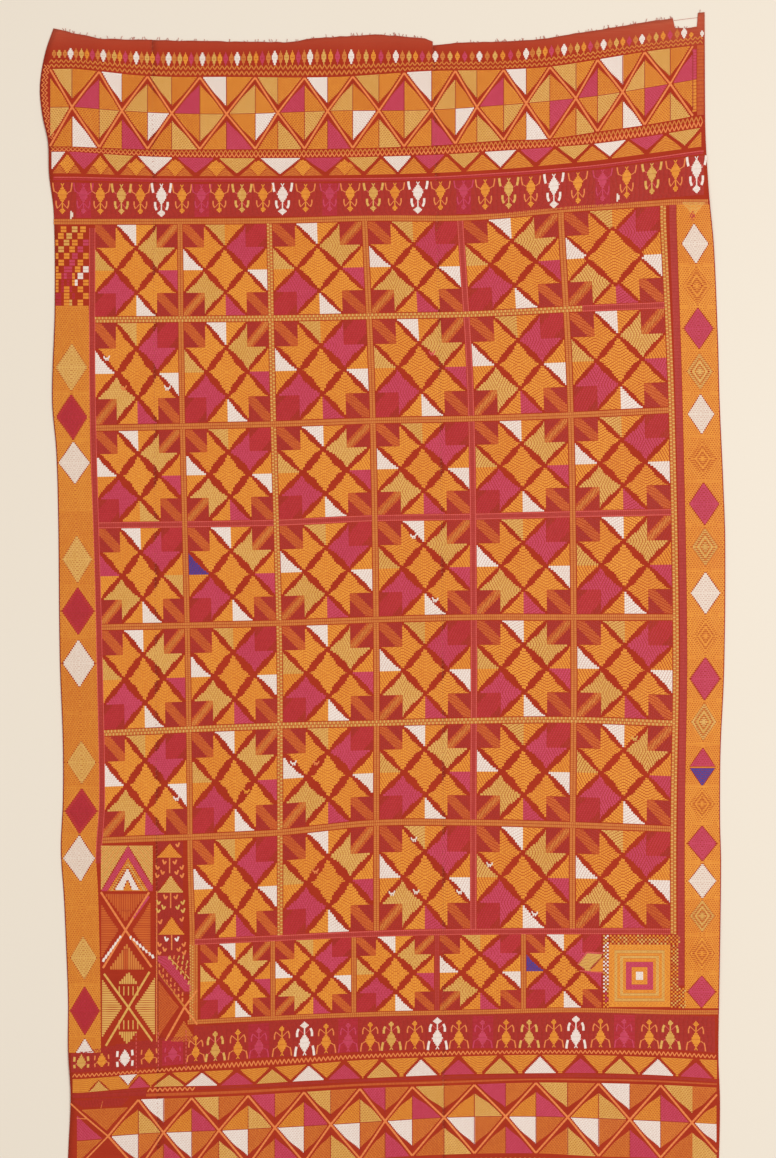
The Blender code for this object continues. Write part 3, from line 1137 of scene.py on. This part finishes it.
tree_column = [shape("madder", box(-439, -672, -389, -454), 0, "across")]
for middle, top, height, floss, upper_fruit, fruit in TREES:
    leaves = upright(middle, top - height, top, TREE_HALF)
    tree_column.append(shape(floss, leaves, 1.4, "along", (middle, top - height)))
darn(tree_column, on_cloth, step=5.4, gap=0.25)
for middle, top, height, floss, upper_fruit, fruit in TREES:
    foot = top - height
    strand("pale_orange", [(middle, foot), (middle, foot - TRUNK)], width=2.6, step=7.0, over=OVER)
    for (out, down), kind in zip(FRUIT, (upper_fruit, fruit, fruit, fruit)):
        for side in (-1, 1):
            fruit_hook(middle + side * out, foot - down, side, kind)
for x, y in LONE_FRUIT:
    fruit_hook(x, y, 1, "pale_orange")

dash_block = [
    shape("madder", box(-438, -752, -374, -672), 0, "across"),
    shape(
        "magenta",
        [(-438, -677), (-419, -677), (-374, -733), (-374, -747), (-386, -747), (-438, -688)], 0.8,
    ),
    shape("rust", [(-437, -722), (-396, -777), (-437, -838)], 1.4, "across", (-437, -777)),
    shape("rust", [(-361, -756), (-376, -775), (-361, -796)], 1.2, "across", (-361, -777)),
    shape("burnt_orange", upright(-387, -845, -803, 27), 0.8, "along", (-387, -845)),
]
darn(dash_block, on_cloth, step=6.0, gap=0.45)
strand("gold", [(-417, -678), (-376, -722)], width=3.0, step=8.0)
# Rows of leaning dashes beside the magenta band, and of upright ones below it, each row going
# down to the right until the block ends.
BLOCK_RIGHT, DASHES, DASH_WIDTH = -376, 7, 3.4
for k, floss in enumerate(("gold", "pale_orange", "gold", "gold")):
    for j in range(DASHES):
        x, y = -414 + 9 * k + 7.5 * j, -676 - 9.8 * j
        if x < BLOCK_RIGHT:
            strand(floss, [(x, y), (x - 3, y - 9)], DASH_WIDTH)
for k in range(3):
    for j in range(DASHES):
        x, y = -435 + 7.5 * j, -692 - 11.5 * k - 9.2 * j
        if y > -707 - 1.36 * (x + 436):
            strand("pale_orange", [(x, y), (x, y - 8)], DASH_WIDTH)

# --------------------------------------------------------- the square in squares, lower right
SQUARE_HEART = (501, -716)
# Columns: half width, half height, floss.
SQUARES = [
    (60, 61, "orange"), (49, 50, "gold"), (43, 44, "orange"), (38, 39, "gold"),
    (33, 34, "orange"), (26.5, 27, "magenta"), (16.5, 17, "orange"), (7, 8, "white"),
]
UNIT_SQUARE = box(-1, -1, 1, 1)
darn(
    [shape(floss, placed(UNIT_SQUARE, *SQUARE_HEART, *halves), 0.6) for *halves, floss in SQUARES],
    on_cloth, step=8.0, gap=0.2, pitch=2.8, heart=SQUARE_HEART,
)


def speckle(u0, v0, u1, v1, size, flosses):
    """Small checks of floss, counted thread by thread, with the ground between them."""
    columns, rows = round((u1 - u0) / size), round((v1 - v0) / size)
    for i in range(columns):
        for j in range(rows):
            if (i + j) % 2 == 0:
                u, v = u0 + i * size, v0 + j * size
                floss = chance.choice(flosses)
                add_stitch(floss, box(u, v, u + size, v + size), on_cloth, MIDDLE_TONE, OVER)


# Columns: left, low, right, high, size of a check, flosses.
for patch in (
    (443, -655, 578, -637, 3.8, ["gold", "orange", "dull_orange"]),
    (430, -748, 441, -637, 3.6, ["white", "white", "gold"]),
    (430, -778, 441, -748, 3.6, ["magenta", "orange"]),
    (562, -778, 576, -655, 3.6, ["orange", "gold", "dull_orange"]),
    (577, -779, 591, -738, 3.6, ["gold", "orange"]),
):
    speckle(*patch)

# ------------------------------------------------------------------ small birds and flowers
# Columns: across, along, floss, facing (1 is right).
BIRDS = [
    (-537, 488, "white", 1), (-420, 430, "white", -1), (-504, 430, "pale_orange", 1),
    (97, 498, "pale_pink", 1), (61, 141, "white", 1), (102, 17, "white", -1),
    (-401, -370, "white", 1), (-173, -301, "white", 1), (-266, -356, "orange", -1),
    (-130, -301, "pale_orange", -1), (62, -450, "cream", 1), (492, -253, "gold", 1),
    (-130, -512, "pale_orange", 1), (65, -552, "cream", -1), (19, -555, "cream", 1),
    (151, -552, "white", 1), (208, -499, "cream", -1), (296, -595, "white", -1),
]
BIRD_LINES = [
    [(-5, -1), (3, 0)], [(3, 0), (5, 5)], [(-5, -1), (-6, 4)], [(-2, -1), (-2, -5)],
    [(2, -1), (2, -5)],
]
for x, y, floss, way in BIRDS:
    for path in BIRD_LINES:
        strand(floss, placed(path, x, y, way), width=2.6, over=OVER)
for x, y in ((-606, 768), (459, 802)):
    for path in ([(-1.5, -9), (-1, 7)], [(1.5, -5), (1.5, 4)]):
        strand("cream", placed(path, x, y), width=3.0, step=16.0, over=OVER)
darn(
    [shape("gold", [(582, 792), (630, 792), (606, 764)]), shape("ruby", lozenge(604, 765, 6, 11))],
    on_cloth, step=6, gap=0.2, pitch=2.4,
)
odd_patch = [
    shape("orange", box(405, -708, 430, -682)),
    shape("gold", [(382, -694), (399, -672), (430, -674), (405, -699), (402, -708)]),
    shape("madder", [(404, -701), (424, -681), (430, -678), (412, -699), (406, -704)]),
]
darn(odd_patch, on_cloth, step=6, gap=0.2, pitch=2.4, over=OVER)
for path in ([(380, -694), (398, -670), (430, -672)], [(384, -706), (430, -710)]):
    strand("pale_pink", path, width=2.2, step=5.0, over=OVER)

# ---------------------------------------------------- seams between the widths and loose ends
# The seams' stitches: how long and how slanted each is, the step from one to the next, and how
# deep they lie.
SEAM_FOOT, SEAM_TOP = -1128, 1098
SEAM_STITCH, SEAM_SLANT, SEAM_STEP, SEAM_SINK = 5.0, 2.5, 9, 0.02
for seam in (left_seam, right_seam):
    for y in range(SEAM_FOOT, SEAM_TOP, SEAM_STEP):
        path = placed([(-SEAM_STITCH / 2, 0), (SEAM_STITCH / 2, SEAM_SLANT)], seam(y), y)
        strand("sewing_cotton", path, width=1.1, over=-SEAM_SINK)

# The frayed ends: how far they keep from a width's sides, how far inside its raw end they start,
# how far they lean and the lengths that they come in.
FRAY_COUNT, FRAY_MARGIN, FRAY_ROOT, FRAY_LEAN, FRAY_LENGTHS = 200, 6, 2.5, 3, (3, 8)
for k in range(FRAY_COUNT):
    raw_ends, way = (UPPER_END, 1) if k % 3 else (LOWER_END, -1)
    side = chance.choice(("left", "middle", "middle", "right", "right"))
    first, last = raw_ends[side][0][0], raw_ends[side][-1][0]
    x = chance.uniform(first + FRAY_MARGIN, last - FRAY_MARGIN)
    y = straight_between(raw_ends[side], x) - way * FRAY_ROOT
    lean, length = chance.uniform(-FRAY_LEAN, FRAY_LEAN), chance.uniform(*FRAY_LENGTHS)
    path = [(x, y), (x + 0.3 * lean, y + way * length / 2), (x + lean, y + way * length)]
    strand("loose_cotton", path, width=0.8)
strand("loose_cotton", [(568, 1146), (590, 1149), (616, 1152)], width=0.7)


# ------------------------------------------------------------------------------ making meshes
PILLOW, RAISED = 0.34, 0.05
MOST_FACES = 180000
FACES_OF_FLOAT = 4


def finished(name, bm):
    """The object that a mesh in the making becomes, in its own place."""
    mesh = bpy.data.meshes.new(name)
    bm.to_mesh(mesh)
    bm.free()
    ob = bpy.data.objects.new(name, mesh)
    bpy.context.scene.collection.objects.link(ob)
    return ob


def make_floss(name, worked):
    """Every float of one floss: a row of faces parted at its edges, laid down and plumped."""
    bm = bmesh.new()
    bmesh.ops.create_grid(bm, x_segments=len(worked), y_segments=1, size=0.5)
    bmesh.ops.split_edges(bm, edges=[edge for edge in bm.edges if len(edge.link_faces) == 2])
    float_map = bm.loops.layers.uv.new("float")
    tone_layer = bm.faces.layers.float.new("tone")
    for face, (points, tone, over) in zip(list(bm.faces), worked):
        face[tone_layer] = tone
        for loop, (x, y), place in zip(face.loops, points, box(0, 0, 1, 1)):
            height = lift(x, y) + CLOTH_THICKNESS + over + RAISED
            loop.vert.co = (x * MM, y * MM, height * MM)
            loop[float_map].uv = place
    bmesh.ops.poke(bm, faces=bm.faces[:], offset=PILLOW * MM)
    for face in bm.faces:
        face.smooth = True
    return finished(name, bm)


def with_steps(values, longest):
    """The values with others put evenly between, so that no step is too long."""
    out = [values[0]]
    for low, high in zip(values, values[1:]):
        parts = max(1, math.ceil((high - low) / longest))
        out += [low + (high - low) * k / parts for k in range(1, parts + 1)]
    return out


END_ROWS, FIRST_ROW, LAST_ROW = 8, -1096, 1062
RAVEL, STEEP_SIDE = 1.8, 0.7


def width_of_cloth(side, left_side, right_side):
    """One woven width between two lines, each a function from along to across."""
    columns = with_steps([across for across, along in UPPER_END[side]], CLOTH_STEP)
    shares = [(x - columns[0]) / (columns[-1] - columns[0]) for x in columns]
    levels = with_steps([FIRST_ROW, LAST_ROW], CLOTH_STEP)
    last_row = len(levels) - 1 + 2 * END_ROWS
    bm = bmesh.new()
    bmesh.ops.create_grid(bm, x_segments=len(columns) - 1, y_segments=last_row, size=0.5)
    for vert in bm.verts:
        share_across = shares[round((vert.co.x + 0.5) * (len(columns) - 1))]
        row = round((vert.co.y + 0.5) * last_row)
        level = min(max(row - END_ROWS, 0), len(levels) - 1)
        past = row - END_ROWS - level
        end = UPPER_END[side] if past > 0 else LOWER_END[side]
        ravel = chance.uniform(0, RAVEL) if row in (0, last_row) else 0
        y = levels[level]
        for _ in range(3):
            x = left_side(y) + (right_side(y) - left_side(y)) * share_across
            if past:
                share = abs(past) / END_ROWS
                y = levels[level] + share * (straight_between(end, x) - levels[level])
                y -= math.copysign(ravel, past)
        vert.co = (x * MM, y * MM, lift(x, y) * MM)
    bmesh.ops.solidify(bm, geom=bm.faces[:], thickness=-CLOTH_THICKNESS * MM)
    bmesh.ops.recalc_face_normals(bm, faces=bm.faces[:])
    for face in bm.faces:
        face.smooth = abs(face.normal.z) > STEEP_SIDE
    return finished(f"cloth_{side}", bm)


cloths = {
    side: width_of_cloth(side, left_side, right_side)
    for side, left_side, right_side in (
        ("left", left_edge, moved(left_seam, -SEAM_GAP / 2)),
        ("middle", moved(left_seam, SEAM_GAP / 2), moved(right_seam, -SEAM_GAP / 2)),
        ("right", moved(right_seam, SEAM_GAP / 2), right_edge),
    )
}

floss_pieces = {}
for floss, worked in sorted(stitches.items()):
    worked.sort(key=lambda item: -item[0][0][1])
    parts = math.ceil(len(worked) * FACES_OF_FLOAT / MOST_FACES)
    size = math.ceil(len(worked) / parts)
    for k in range(parts):
        name = floss if floss.endswith("cotton") else f"floss_{floss}"
        name += f"_{k + 1}" if parts > 1 else ""
        floss_pieces[name] = (floss, make_floss(name, worked[k * size:(k + 1) * size]))


# ---------------------------------------------------------------------------------- finishes
def srgb(red, green, blue):
    def linear(value):
        value /= 255
        return value / 12.92 if value <= 0.04045 else ((value + 0.055) / 1.055) ** 2.4

    return (linear(red), linear(green), linear(blue), 1)


def node(tree, kind, **values):
    made = tree.nodes.new("ShaderNode" + kind)
    for name, value in values.items():
        setattr(made, name, value)
    return made


def put(tree, value, place):
    """Join an output to a socket, or set the socket to a plain value."""
    if isinstance(value, bpy.types.NodeSocket):
        tree.links.new(value, place)
    else:
        place.default_value = value


def sums(tree):
    """The plus, minus, times and power of a tree: each makes a math node of two values."""

    def maker(operation):
        def make(first, second, clamp=False):
            made = node(tree, "Math", operation=operation, use_clamp=clamp)
            put(tree, first, made.inputs[0])
            put(tree, second, made.inputs[1])
            return made.outputs[0]

        return make

    return [maker(operation) for operation in ("ADD", "SUBTRACT", "MULTIPLY", "POWER")]


def noise(tree, vector, scale, detail=2.0, rough=0.5):
    made = node(tree, "TexNoise")
    made.inputs["Scale"].default_value = scale
    made.inputs["Detail"].default_value = detail
    made.inputs["Roughness"].default_value = rough
    tree.links.new(vector, made.inputs["Vector"])
    return made.outputs["Fac"]


def mixed(tree, factor, first, second):
    """A colour between two others."""
    made = node(tree, "Mix", data_type="RGBA")
    for value, place in ((factor, 0), (first, 6), (second, 7)):
        put(tree, value, made.inputs[place])
    return made.outputs[2]


def new_group(name, colours):
    """A shader node group from named colours to a colour, a roughness and a height."""
    group = bpy.data.node_groups.new(name, "ShaderNodeTree")
    for colour in colours:
        group.interface.new_socket(name=colour, in_out="INPUT", socket_type="NodeSocketColor")
    for output, kind in (("Color", "Color"), ("Roughness", "Float"), ("Height", "Float")):
        group.interface.new_socket(name=output, in_out="OUTPUT", socket_type="NodeSocket" + kind)
    start = group.nodes.new("NodeGroupInput").outputs
    end = group.nodes.new("NodeGroupOutput").inputs
    cloth = node(group, "TexCoord").outputs["Object"]
    return group, start, end, cloth


def floss_group():
    """Untwisted silk: strands along each float, with painted shade darkening each float towards
    its edges and ends.
    """
    group, start, end, cloth = new_group("floss_silk", ("Pale", "Deep", "Painted_Shade"))
    plus, minus, times, power = sums(group)
    link = group.links.new
    split = node(group, "SeparateXYZ")
    link(node(group, "UVMap", uv_map="float").outputs["UV"], split.inputs[0])
    tone = node(group, "Attribute", attribute_name="tone").outputs["Fac"]
    patchy = noise(group, cloth, 16.0, 3.0, 0.6)
    fine = noise(group, cloth, 900.0, 2.0, 0.6)

    along = node(group, "CombineXYZ")
    link(plus(split.outputs["X"], times(tone, 37.0)), along.inputs["X"])
    link(times(split.outputs["Y"], 0.12), along.inputs["Y"])
    texture = node(group, "TexNoise", noise_dimensions="2D")
    texture.inputs["Scale"].default_value = 7.0
    texture.inputs["Detail"].default_value = 1.0
    link(along.outputs[0], texture.inputs["Vector"])
    strands = texture.outputs["Fac"]

    def hump(value):
        return times(times(value, minus(1.0, value)), 4.0)

    body = times(power(hump(split.outputs["X"]), 0.35), power(hump(split.outputs["Y"]), 0.22))
    shade = plus(times(tone, 0.62), times(patchy, 0.42))
    shade = minus(plus(shade, times(strands, 0.30), True), 0.17, True)
    colour = mixed(group, shade, start["Pale"], start["Deep"])
    # painted shade: each float darkens towards its edges and ends
    painted_shade = times(minus(1.0, body, True), 0.55, True)
    link(mixed(group, painted_shade, colour, start["Painted_Shade"]), end["Color"])
    link(plus(times(fine, 0.2), 0.38), end["Roughness"])
    link(plus(strands, times(fine, 0.3)), end["Height"])
    return group


# How far from the middle of the shawl its raw ends begin to turn lighter, in metres.
RAW_END = 1.08


def cotton_group():
    """Handwoven cotton: a slubby plain weave, unevenly dyed, and lighter at the raw ends, partly
    dust and partly painted highlight.
    """
    group, start, end, cloth = new_group("khaddar_weave", ("Pale", "Deep", "Lit_Dusty_End"))
    plus, minus, times, _ = sums(group)
    link = group.links.new
    split = node(group, "SeparateXYZ")
    link(cloth, split.inputs[0])
    threads = []
    for axis, count in (("X", 5200.0), ("Y", 4700.0)):
        wave = node(group, "Math", operation="SINE")
        link(times(split.outputs[axis], count), wave.inputs[0])
        threads.append(wave.outputs[0])
    weave = plus(times(times(*threads), 0.5), 0.5)
    slubs = node(group, "Mapping")
    slubs.inputs["Scale"].default_value = (22.0, 420.0, 1.0)
    link(cloth, slubs.inputs["Vector"])
    slub = noise(group, slubs.outputs[0], 1.0, 3.0, 0.6)
    cloudy = noise(group, cloth, 9.0, 4.0, 0.6)
    shade = plus(plus(times(cloudy, 0.75), times(slub, 0.5)), times(weave, 0.22))
    dyed = mixed(group, minus(shade, 0.24, True), start["Pale"], start["Deep"])
    far = node(group, "Math", operation="ABSOLUTE")
    link(split.outputs["Y"], far.inputs[0])
    # painted highlight with some dust: the cloth turns lighter past the start of the raw ends
    lit_dusty_end = times(minus(far.outputs[0], RAW_END, True), 14.0, True)
    lit_dusty_end = times(lit_dusty_end, plus(slub, 0.1), True)
    link(mixed(group, lit_dusty_end, dyed, start["Lit_Dusty_End"]), end["Color"])
    link(plus(times(slub, 0.16), 0.74), end["Roughness"])
    link(plus(weave, slub), end["Height"])
    return group


silk, khaddar = floss_group(), cotton_group()
BUMP_DISTANCE, SHEEN, SHEEN_ROUGHNESS = 0.0004, 0.08, 0.4


def finish_of(name, group, colours, bump, specular):
    """A soft fibre's material, with a group's colours set in their order."""
    mat = bpy.data.materials.new(name)
    mat.use_nodes = True
    tree = mat.node_tree
    shader = tree.nodes["Principled BSDF"].inputs
    made = node(tree, "Group", node_tree=group)
    for place, colour in zip(made.inputs, colours):
        place.default_value = srgb(*colour)
    tree.links.new(made.outputs["Color"], shader["Base Color"])
    tree.links.new(made.outputs["Roughness"], shader["Roughness"])
    raised = node(tree, "Bump")
    raised.inputs["Strength"].default_value = bump
    raised.inputs["Distance"].default_value = BUMP_DISTANCE
    tree.links.new(made.outputs["Height"], raised.inputs["Height"])
    tree.links.new(raised.outputs["Normal"], shader["Normal"])
    shader["Sheen Weight"].default_value = SHEEN
    shader["Sheen Roughness"].default_value = SHEEN_ROUGHNESS
    shader["Specular IOR Level"].default_value = specular
    mat.diffuse_color = srgb(*colours[0])
    return mat


# Floss: pale and deep shades, and the painted shade towards each float's edges and ends.
SILKS = {
    "orange": ((248, 165, 51), (227, 130, 24), (179, 75, 22)),
    "amber": ((240, 156, 46), (216, 120, 20), (168, 66, 18)),
    "burnt_orange": ((230, 130, 42), (202, 95, 18), (152, 52, 14)),
    "cream": ((245, 228, 212), (232, 210, 190), (206, 168, 144)),
    "dull_orange": ((230, 140, 58), (202, 106, 32), (150, 54, 16)),
    "gold": ((238, 186, 101), (217, 157, 64), (176, 105, 41)),
    "magenta": ((216, 72, 102), (194, 48, 76), (150, 26, 44)),
    "ruby": ((202, 46, 54), (178, 26, 32), (138, 20, 24)),
    "crimson": ((198, 38, 54), (172, 22, 34), (134, 18, 26)),
    "brick": ((197, 62, 50), (172, 40, 32), (134, 24, 18)),
    "madder": ((186, 44, 24), (162, 28, 14), (126, 20, 10)),
    "rust": ((222, 108, 32), (192, 74, 18), (150, 46, 14)),
    "white": ((251, 239, 229), (238, 219, 204), (210, 173, 153)),
    "violet": ((96, 62, 152), (68, 42, 124), (44, 26, 80)),
    "pale_orange": ((246, 150, 80), (230, 118, 52), (180, 72, 30)),
    "pale_pink": ((232, 104, 88), (212, 68, 70), (150, 36, 42)),
    "sewing_cotton": ((196, 92, 54), (170, 62, 36), (130, 36, 20)),
    "loose_cotton": ((196, 84, 60), (170, 54, 40), (140, 40, 28)),
}
silk_finishes = {
    floss: finish_of(f"{floss}_silk", silk, colours, 0.35, 0.3) for floss, colours in SILKS.items()
}
# The cotton's pale and deep shades, darkened as painted shade of the ground between the floss, and
# the lighter shade of its raw ends, partly dust and partly painted highlight.
MADDER_COTTON = ((190, 60, 26), (156, 34, 16), (204, 104, 74))
madder_cotton = finish_of("madder_khaddar", khaddar, MADDER_COTTON, 0.5, 0.2)

# ------------------------------------------------------------------- declaring every piece
for side, cloth in cloths.items():
    cloth.data.materials.append(madder_cotton)
    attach(cloth, "root")
    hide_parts(f"width_{side}")
for name, (floss, piece) in floss_pieces.items():
    piece.data.materials.append(silk_finishes[floss])
    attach(piece, "root")


# -------------------------------------------------------------------- floor, light and camera
def floor_finish():
    mat = bpy.data.materials.new("pale_floor")
    mat.use_nodes = True
    tree = mat.node_tree
    shader = tree.nodes["Principled BSDF"]
    place = node(tree, "TexCoord").outputs["Object"]
    cloudy = noise(tree, place, 0.8, 1.0)
    colour = mixed(tree, cloudy, srgb(243, 232, 216), srgb(239, 227, 210))
    tree.links.new(colour, shader.inputs["Base Color"])
    shader.inputs["Roughness"].default_value = 0.95
    shader.inputs["Specular IOR Level"].default_value = 0.1
    return mat


bm = bmesh.new()
bmesh.ops.create_grid(bm, x_segments=2, y_segments=2, size=50)
floor = finished("floor", bm)
floor.data.materials.append(floor_finish())

scene = bpy.context.scene
scene.view_settings.view_transform = "Standard"
world = bpy.data.worlds.new("studio")
world.use_nodes = True
backdrop = world.node_tree.nodes["Background"].inputs
backdrop["Color"].default_value = (1.0, 0.985, 0.96, 1)
backdrop["Strength"].default_value = 0.53
scene.world = world


def soft_light(name, place, size, watts):
    """A square lamp that looks at the middle of the shawl."""
    light = bpy.data.lights.new(name, "AREA")
    light.size = size
    light.energy = watts
    ob = bpy.data.objects.new(name, light)
    ob.location = place
    ob.rotation_euler = (-Vector(place)).to_track_quat("-Z", "Y").to_euler()
    scene.collection.objects.link(ob)


LAMP_SIZE = 2.6
soft_light("key", (3.6, 0.5, 5.4), LAMP_SIZE, 193)
soft_light("fill", (-3.6, 0.1, 5.4), LAMP_SIZE, 54)

# The length of floor that the camera takes in, in metres, then its lens and film.
FRAME_HEIGHT, LENS, FILM = 2.258, 90, 36
camera_data = bpy.data.cameras.new("camera")
camera_data.lens = LENS
camera_data.sensor_fit = "VERTICAL"
camera_data.sensor_height = FILM
camera_data.clip_end = 60
camera = bpy.data.objects.new("camera", camera_data)
camera.location = (0.0107, 0.0575, FRAME_HEIGHT * LENS / FILM)
scene.collection.objects.link(camera)
scene.camera = camera
